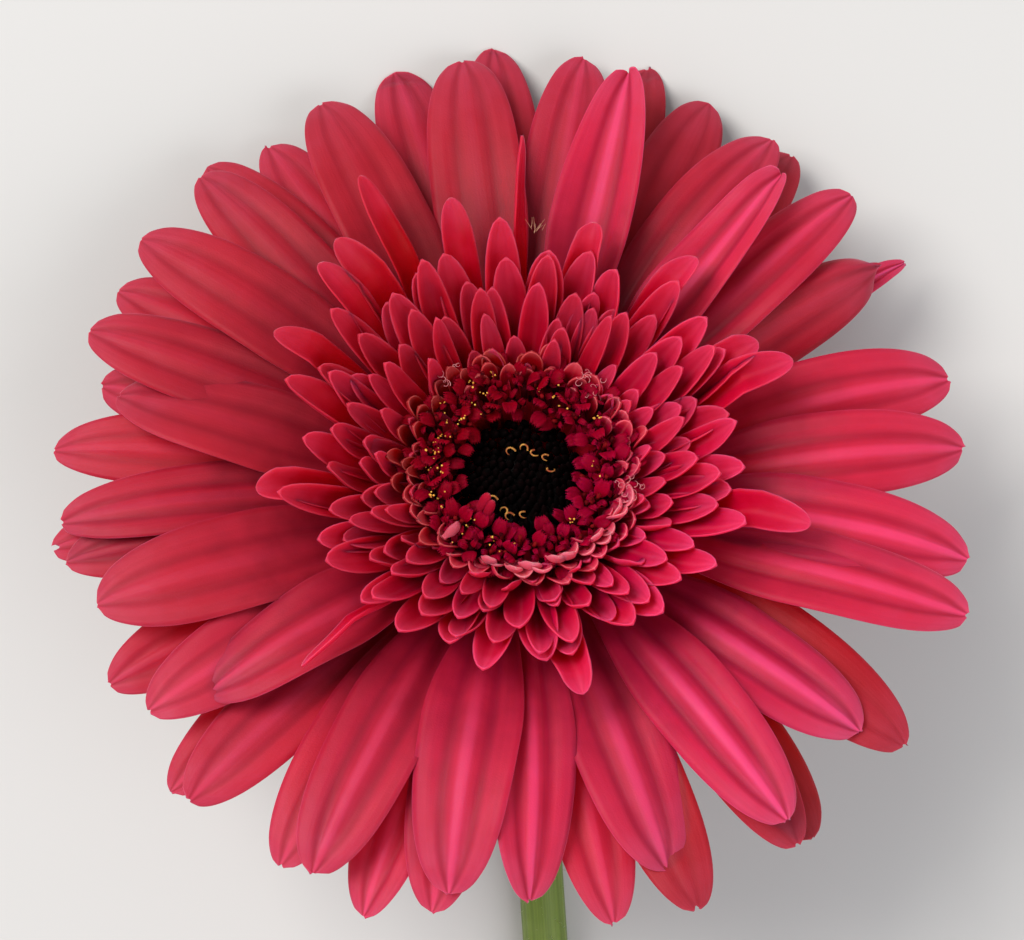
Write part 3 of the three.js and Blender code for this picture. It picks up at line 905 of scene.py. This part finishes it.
# Two that stand up at the edge of the dark middle: azimuth, radius of the base and of the tip, height of the
# base and of the tip, width, twist
STANDING_PAIR = ((226, 8.0, 5.6, -0.6, 3.8, 1.25, 0), (235, 8.0, 5.9, -0.6, 3.5, 1.15, 10))
INNER_PAINTED_LIGHT = 2.2
inner_velvet = leaf_material(
    "inner_velvet",
    {
        "Base": (0.16, 0.0, 0.005, 1),
        "Middle": (0.34, 0.0, 0.014, 1),
        "Tip": (0.7, 0.07, 0.1, 1),
        "Margin": (0.8, 0.2, 0.19, 1),
        "Under": (0.4, 0.006, 0.03, 1),
        "Fade Start": 0.2,
        "Fade End": 0.65,
        "Tip Start": 0.6,
        "Veins": 0.2,
        "Furrow Shade And Ridge Highlight": 0.1,
        "Vein Count": 5.0,
        "Margin Width": 0.12,
    },
    sheen=0.03,
    shine=0.04,
)


def add_free_floret(bm, azimuth, base, tip, low, high, width, twist, curl, chance):
    """A tongue on its own, from radius base and height low to radius tip and height high."""
    def height(radius):
        return low + (high - low) * min(1.2, max(0, (radius - base) / (tip - base))) ** 0.8

    add_trans_floret(bm, base, tip, height, azimuth, width, twist, 0, curl, chance, 8, 12, 1.6)


def make_inner_trans(chance):
    bm = bmesh.new()
    for row, (tip, count, width, reach, level) in enumerate(INNER_ROWS):
        for i in range(count):
            azimuth = (i + 0.5 * row) * 360 / count + chance.uniform(-4, 4)
            top = level + chance.uniform(-0.8, 0.8)
            outer = tip + chance.uniform(-0.8, 0.8)
            foot = outer - reach

            def height(radius, foot=foot, outer=outer, top=top):
                share = min(1.2, max(0, (radius - foot) / (outer - foot)))
                return -3.5 + (top + 3.5) * share**0.75

            curl = chance.uniform(-0.6, 0.4)
            width_here = width * chance.uniform(0.85, 1.2)
            twist = chance.gauss(0, 20)
            add_trans_floret(
                bm, foot, outer, height, azimuth, width_here, twist, 0, curl, chance, 6, 10, INNER_PAINTED_LIGHT
            )
    for floret in STANDING_PAIR:
        add_free_floret(bm, *floret, 0.2, chance)
    return on_head(bm)


put("inner_trans_florets", make_inner_trans(random.Random(41)), inner_velvet, "trans_florets")

# ---- Open disc florets ----
# Small velvety funnels in five rings around the dark middle. The mouth of each splits into curled dark red
# lobes, one broad and two narrow, and out of many of them stands a stout dark column of anthers.
DISC_RINGS = (
    (12.9, 26, 1.1, 0),
    (11.8, 25, 1.6, 40),
    (10.7, 23, 1.8, 120),
    (9.7, 20, 1.5, 180),
    (8.9, 18, 0.3, 180),
)  # radius, count, height of the mouths, and the turn of the broad lobe from straight outwards
# Each lobe's turn in radians, width, length and curl
LOBES = ((0, 1.75, 2.5, 1.3), (2.3, 0.75, 1.4, 1.5), (-2.3, 0.75, 1.4, 1.5))
TUBE_RADIUS = 0.42
ANTHER_RADIUS = 0.26
disc_velvet = leaf_material(
    "disc_velvet",
    {
        "Base": (0.03, 0.0, 0.002, 1),
        "Middle": (0.17, 0.0, 0.005, 1),
        "Tip": (0.29, 0.0, 0.012, 1),
        "Margin": (0.42, 0.01, 0.03, 1),
        "Under": (0.25, 0.0, 0.012, 1),
        "Fade Start": 0.1,
        "Fade End": 0.6,
        "Tip Start": 0.4,
        "Veins": 0.2,
        "Furrow Shade And Ridge Highlight": 0.1,
        "Vein Count": 4.0,
        "Margin Width": 0.12,
    },
    sheen=0.01,
    shine=0.03,
)


def disc_place(radius, azimuth, height, tilt):
    """The frame of a disc floret's mouth: its Z leans outwards by tilt degrees."""
    lean = Matrix.Rotation(math.radians(tilt), 4, "Y")
    turn = Matrix.Rotation(math.radians(azimuth), 4, "Z")
    return Matrix.Translation(around(radius, azimuth, height)) @ turn @ lean


def add_lobe(bm, mouth, azimuth, direction, length, width, curl, chance):
    """A lobe that rises from the mouth's rim and curls outwards, its edges turned up or down."""
    fold = chance.uniform(-0.5, 0.5)

    def place(u, v):
        bend = curl * v
        outward = TUBE_RADIUS + length * (1 - math.cos(bend)) / curl
        rise = length * math.sin(bend) / curl
        teeth = 0.16 * math.cos(3 * math.pi * u) * smoothstep(0.75, 1, v)
        widening = 0.5 + 0.5 * smoothstep(0, 0.5, v)
        across = u * width / 2 * widening * math.sqrt(max(0.25, 1 - 0.8 * v**5))
        outward -= teeth
        rise += fold * across * across - 0.12 * bump_at(abs(u), 0.35, 0.15)
        point = Vector((outward, across, rise))
        return mouth @ (Matrix.Rotation(direction, 3, "Z") @ point)

    # Painted light: each lobe is painted brighter towards the head's lower right side.
    blade(bm, 6, 6, place, 0.14, painted_light_level(azimuth, chance))


def make_disc(chance):
    """The funnels and lobes as one mesh, the anther columns as another."""
    petals, anthers = bmesh.new(), bmesh.new()
    for ring, (radius, count, height, facing) in enumerate(DISC_RINGS):
        for i in range(count):
            azimuth = (i + 0.4 * ring) * 360 / count + chance.uniform(-5, 5)
            tilt = 20 - 9 * ring + chance.uniform(-16, 16)
            from_middle = radius + chance.uniform(-0.5, 0.5)
            mouth = disc_place(from_middle, azimuth, height + chance.uniform(-0.6, 0.6), tilt)
            bmesh.ops.create_cone(
                petals,
                cap_ends=True,
                segments=8,
                radius1=0.3,
                radius2=TUBE_RADIUS + 0.12,
                depth=4,
                matrix=mouth @ Matrix.Translation((0, 0, -1.9)),
            )
            turned = math.radians(facing * chance.choice((-1, 1)) + chance.uniform(-30, 30))
            for turn, width, length, curl in LOBES:
                add_lobe(
                    petals,
                    mouth,
                    azimuth,
                    turned + turn + chance.uniform(-0.3, 0.3),
                    length * chance.uniform(0.75, 1.2),
                    width * chance.uniform(0.85, 1.2),
                    curl * chance.uniform(0.6, 1.3),
                    chance,
                )
            if chance.random() < 0.6:
                length = chance.uniform(1.6, 2.9)
                lean = Matrix.Rotation(chance.uniform(-0.25, 0.25), 4, "X")
                bmesh.ops.create_cone(
                    anthers,
                    cap_ends=True,
                    segments=7,
                    radius1=ANTHER_RADIUS * 0.8,
                    radius2=ANTHER_RADIUS,
                    depth=length,
                    matrix=mouth @ lean @ Matrix.Translation((0, 0, length / 2 - 0.6)),
                )
    return on_head(petals), on_head(anthers)


def make_grain_material(name, low, high, scale, rough, sheen, shine=0.3):
    """Small plain parts: two colours that mix at random over the head, rough and grainy."""
    settings = {
        "Specular IOR Level": shine,
        "Sheen Weight": sheen,
        "Subsurface Weight": 0.1,
        "Subsurface Scale": 0.0005,
    }
    material, shader, w = new_material(name, settings)
    place = w.node("ShaderNodeTexCoord").outputs["Object"]
    broad = w.noise(place, scale, 2)
    fine = w.noise(place, scale * 9, 2)
    mixed = w.plus(w.times(broad, 0.7), w.times(fine, 0.3))
    share = w.band(mixed, 0.38, 0.62)
    w.join(w.mix(share, low, high), shader.inputs["Base Color"])
    w.join(w.plus(rough, w.times(fine, 0.25)), shader.inputs["Roughness"])
    w.relief(fine, 0.5, 0.0001, shader)
    return material


disc_petals, disc_anthers = make_disc(random.Random(53))
put("disc_funnels", disc_petals, disc_velvet, "disc_florets", "disc_florets")
anther_red = make_grain_material(
    "anther_red", (0.04, 0.0, 0.002, 1), (0.2, 0.004, 0.006, 1), 900, 0.5, 0.0, 0.05
)
put("disc_anthers", disc_anthers, anther_red, "disc_florets")

# ---- Pollen ----
# Crumbs of orange-yellow pollen cling to the lobes and anthers, singly and in small clumps, mostly on the
# left of the disc.
POLLEN_CLUMPS = 60


def make_pollen(chance):
    bm = bmesh.new()
    for _ in range(POLLEN_CLUMPS):
        radius = chance.triangular(8, 13.8, 10)
        azimuth = chance.choice((chance.uniform(0, 360), chance.gauss(160, 45)))
        middle = around(radius, azimuth, 2.3 + chance.uniform(-0.6, 1.2))
        for _ in range(chance.choice((1, 1, 2, 3, 5))):
            nudge = Vector((chance.gauss(0, 0.22), chance.gauss(0, 0.22), chance.gauss(0, 0.1)))
            squash = Matrix.Diagonal((1, chance.uniform(0.6, 1.3), chance.uniform(0.6, 1.2), 1))
            size = chance.uniform(0.08, 0.17)
            spot = Matrix.Translation(middle + nudge) @ squash
            bmesh.ops.create_icosphere(bm, subdivisions=1, radius=size, matrix=spot)
    return on_head(bm)


pollen_orange = make_grain_material(
    "pollen_orange", (0.85, 0.3, 0.02, 1), (0.95, 0.55, 0.08, 1), 2500, 0.6, 0.1
)
put("pollen", make_pollen(random.Random(61)), pollen_orange, "disc_florets")

# ---- Pale florets ----
# Along the lower right of the disc a run of trans florets is paler than the rest, thick, rounded and curled
# at the tip. One more has fallen on its side at the lower left.
PALE_COUNT = 17
PALE_SECTOR = (252, 352)
FALLEN_FLORET = (226, 13.6, 10.6, 3.6, 3.0, 1.4, 60)  # as the standing pair's values
pale_velvet = leaf_material(
    "pale_velvet",
    {
        "Base": (0.3, 0.0, 0.012, 1),
        "Middle": (0.52, 0.02, 0.05, 1),
        "Tip": (0.8, 0.17, 0.2, 1),
        "Margin": (0.8, 0.28, 0.25, 1),
        "Under": (0.6, 0.08, 0.12, 1),
        "Fade Start": 0.1,
        "Fade End": 0.5,
        "Tip Start": 0.45,
        "Veins": 0.6,
        "Furrow Shade And Ridge Highlight": 0.1,
        "Vein Count": 6.0,
        "Margin Width": 0.12,
    },
    sheen=0.08,
)


def make_pale_florets(chance):
    bm = bmesh.new()
    florets = [FALLEN_FLORET]
    start, end = PALE_SECTOR
    for i in range(PALE_COUNT):
        azimuth = start + (end - start) * (i + chance.uniform(-0.4, 0.4)) / PALE_COUNT
        base, tip = chance.uniform(11.4, 12.4), chance.uniform(13.4, 15.4)
        top, width, twist = chance.uniform(3.6, 5.2), chance.uniform(2, 2.9), chance.gauss(0, 20)
        florets.append((azimuth, base, tip, 0.5, top, width, twist))
    for floret in florets:
        add_free_floret(bm, *floret, chance.uniform(-0.2, 0.9), chance)
    return on_head(bm)


put("pale_florets", make_pale_florets(random.Random(83)), pale_velvet, "trans_florets")

# ---- Fine threads ----
# Pink frilly threads curl out of the disc's edge in three places, each a thin closed thread. A small tuft of
# silky hairs has caught on the petals above the disc.
FRILLS = ((344, 14.0, 14), (52, 13.4, 10), (128, 14.6, 6))  # azimuth, radius and count
FRILL_RADIUS = 0.055
TUFT = (86, 28.0, 10.8, 9)  # azimuth, radius, height and count
TUFT_HAIR_RADIUS = 0.03


def add_thread(bm, points, radius, sides=5):
    """A thin closed thread through the points."""
    ring = bmesh.ops.create_circle(bm, cap_ends=True, segments=sides, radius=radius)["verts"]
    turn = (points[1] - points[0]).to_track_quat("Z", "X")
    for vertex in ring:
        vertex.co = points[0] + turn @ vertex.co
    face = ring[0].link_faces[0]
    for i in range(1, len(points)):
        before, after = points[i - 1], points[min(i + 1, len(points) - 1)]
        made = bmesh.ops.extrude_face_region(bm, geom=[face])["geom"]
        bm.faces.remove(face)
        face = next(item for item in made if isinstance(item, bmesh.types.BMFace))
        turn_now = (after - before).to_track_quat("Z", "X")
        thin = radius * (1 - 0.5 * i / (len(points) - 1))
        for k, vertex in enumerate(face.verts):
            angle = 2 * math.pi * k / sides
            vertex.co = points[i] + turn_now @ Vector((math.cos(angle), math.sin(angle), 0)) * thin


def make_frills(chance):
    bm = bmesh.new()
    for azimuth, radius, count in FRILLS:
        for _ in range(count):
            from_middle = radius + chance.gauss(0, 0.7)
            turned = azimuth + chance.gauss(0, 5)
            start = around(from_middle, turned, 3.2 + chance.uniform(-0.5, 1))
            size, turn = chance.uniform(0.25, 0.6), chance.uniform(0, 360)
            points = []
            for k in range(8):
                curl = around(size * (1 - 0.07 * k), turn + 34 * k, 0.12 * k)
                points.append(start + curl)
            add_thread(bm, points, FRILL_RADIUS, 4)
    return on_head(bm)


def make_tuft(chance):
    bm = bmesh.new()
    azimuth, radius, height, count = TUFT
    for _ in range(count):
        start = around(radius + chance.gauss(0, 0.25), azimuth + chance.gauss(0, 0.6), height)
        spread = Vector((chance.gauss(0, 0.55), 1, chance.uniform(-0.1, 0.5))).normalized()
        length, sag = chance.uniform(0.9, 2), chance.uniform(-0.3, 0.3)
        points = [start + spread * length * k / 5 + Vector((sag * (k / 5) ** 2, 0, 0)) for k in range(6)]
        add_thread(bm, points, TUFT_HAIR_RADIUS, 4)
    return on_head(bm)


frill_pink = make_grain_material("frill_pink", (0.6, 0.12, 0.16, 1), (0.75, 0.3, 0.3, 1), 1500, 0.5, 0.1)
put("frills", make_frills(random.Random(89)), frill_pink, "disc_florets")
tuft_silk = make_grain_material("tuft_silk", (0.5, 0.14, 0.08, 1), (0.68, 0.3, 0.18, 1), 900, 0.35, 0.2)
put("silky_tuft", make_tuft(random.Random(97)), tuft_silk, "trans_florets")

# ---- Dark middle ----
# The middle is a tuft of unopened buds, nearly black and matt. They are packed in spirals on the bed, and
# each is a narrow bud that tapers to its top.
BUD_COUNT = 210
BUD_RADIUS = 0.58
BUD_AREA_RADIUS = 7.9
GOLDEN_ANGLE = 137.508


def make_buds(chance):
    bm = bmesh.new()
    for i in range(BUD_COUNT):
        radius = BUD_AREA_RADIUS * math.sqrt((i + 0.5) / BUD_COUNT)
        azimuth = i * GOLDEN_ANGLE + chance.uniform(-4, 4)
        height = -0.4 - 1.8 * (radius / BUD_AREA_RADIUS) ** 4 + chance.uniform(-0.5, 0.4)
        lean = disc_place(radius, azimuth, height, -14 * radius / BUD_AREA_RADIUS + chance.uniform(-8, 8))
        verts = bmesh.ops.create_uvsphere(bm, u_segments=8, v_segments=6, radius=BUD_RADIUS)["verts"]
        for vertex in verts:
            narrow = 1 - 0.45 * smoothstep(-0.2, 1, vertex.co.z / BUD_RADIUS)
            x, y, z = vertex.co
            vertex.co = lean @ Vector((x * narrow, y * narrow, z * 2.6 - 1.3))
    return on_head(bm)


bud_black = make_grain_material(
    "bud_black", (0.0005, 0.0, 0.0, 1), (0.004, 0.0, 0.0003, 1), 700, 0.7, 0.0, 0.07
)
put("dark_buds", make_buds(random.Random(67)), bud_black, "disc_buds", "disc_buds")

# ---- Curled styles ----
# Dry yellow styles have dropped from the disc florets and lie on the dark middle in two clusters, each curled
# like a hook.
STYLES = (  # x, y, size and turn in degrees, in the head's frame
    (-1.2, 2.4, 0.9, 20),
    (0.4, 2.9, 0.8, -30),
    (1.9, 2.2, 0.9, 100),
    (3.2, 1.6, 0.8, 60),
    (3.9, 0.1, 0.8, 150),
    (-3.4, -3.9, 0.9, 10),
    (-2.1, -5.3, 0.8, -60),
    (-1.3, -6.1, 0.9, 30),
    (0.5, -5.9, 0.9, 80),
    (-4.2, -5.2, 0.7, 0),
)
STYLE_RADIUS = 0.14
HOOK_TURN = math.radians(230)
HOOK_STEPS = 10


def make_styles(chance):
    bm = bmesh.new()
    for x, y, size, turn in STYLES:
        points = []
        for k in range(HOOK_STEPS + 1):
            angle = math.radians(turn) + HOOK_TURN * k / HOOK_STEPS
            reach = size * (0.75 - 0.03 * k)
            rise = 0.9 + 0.5 * math.sin(math.pi * k / HOOK_STEPS) + chance.uniform(-0.03, 0.03)
            points.append(Vector((x + reach * math.cos(angle), y + 0.8 * reach * math.sin(angle), rise)))
        add_thread(bm, points, STYLE_RADIUS)
    return on_head(bm)


style_yellow = make_grain_material("style_yellow", (0.3, 0.05, 0.015, 1), (0.6, 0.3, 0.06, 1), 1500, 0.5, 0.0)
put("curled_styles", make_styles(random.Random(71)), style_yellow, "disc_florets")

# ---- Floor, light and camera ----
# The flower lies on a plain pale matt floor. Two large round lamps and a pale sky light it softly, the
# brighter one from the upper left. The camera looks down on the face of the head.
FLOOR_SIZE = 30
floor_mesh = bmesh.new()
bmesh.ops.create_grid(floor_mesh, x_segments=1, y_segments=1, size=FLOOR_SIZE / 2)
floor_data = bpy.data.meshes.new("floor")
floor_mesh.to_mesh(floor_data)
floor_mesh.free()
floor = bpy.data.objects.new("floor", floor_data)
bpy.context.scene.collection.objects.link(floor)
floor_matt = {"Base Color": (0.62, 0.61, 0.59, 1), "Roughness": 0.8, "Specular IOR Level": 0.2}
floor_data.materials.append(new_material("floor_matt", floor_matt)[0])

CAMERA_DISTANCE = 0.6
CAMERA_TILT = math.radians(7)  # from straight down
FRAME_WIDTH_AT_CROWN = 0.12642
AIM_RIGHT, AIM_UP = -0.00099, 0.0004  # where the camera looks, from the crown
SENSOR_WIDTH = 36
camera_back = Vector((0, math.sin(CAMERA_TILT), math.cos(CAMERA_TILT)))
camera_up = Vector((0, math.cos(CAMERA_TILT), -math.sin(CAMERA_TILT)))
camera_data = bpy.data.cameras.new("camera")
camera_data.sensor_width = SENSOR_WIDTH
camera_data.lens = SENSOR_WIDTH * CAMERA_DISTANCE / FRAME_WIDTH_AT_CROWN
camera_data.clip_start = 0.01
camera_data.clip_end = 50
camera = bpy.data.objects.new("camera", camera_data)
bpy.context.scene.collection.objects.link(camera)
aim = crown + Vector((AIM_RIGHT, 0, 0)) + camera_up * AIM_UP
camera.matrix_world = (
    Matrix.Translation(aim + camera_back * CAMERA_DISTANCE)
    @ Matrix((Vector((1, 0, 0)), camera_up, camera_back)).transposed().to_4x4()
)
bpy.context.scene.camera = camera


LAMPS = (  # place from the crown and size in metres, watts, colour
    ("key", (-1.25, 1.1, 1.8), 1.6, 60, (1, 0.97, 0.94)),
    ("fill", (1.3, -0.9, 1.8), 2.0, 20, (0.97, 0.97, 1)),
)
for name, place, size, power, colour in LAMPS:
    data = bpy.data.lights.new(name, "AREA")
    data.shape = "DISK"
    data.size = size
    data.energy = power
    data.color = colour
    light = bpy.data.objects.new(name, data)
    light.location = crown + Vector(place)
    light.rotation_euler = (-Vector(place)).to_track_quat("-Z", "Y").to_euler()
    bpy.context.scene.collection.objects.link(light)

SKY_COLOUR = (0.8, 0.83, 0.88, 1)
SKY_STRENGTH = 0.58
world = bpy.data.worlds.new("studio")
world.use_nodes = True
sky = world.node_tree.nodes["Background"].inputs
sky["Color"].default_value = SKY_COLOUR
sky["Strength"].default_value = SKY_STRENGTH
bpy.context.scene.world = world
bpy.context.scene.view_settings.view_transform = "Standard"
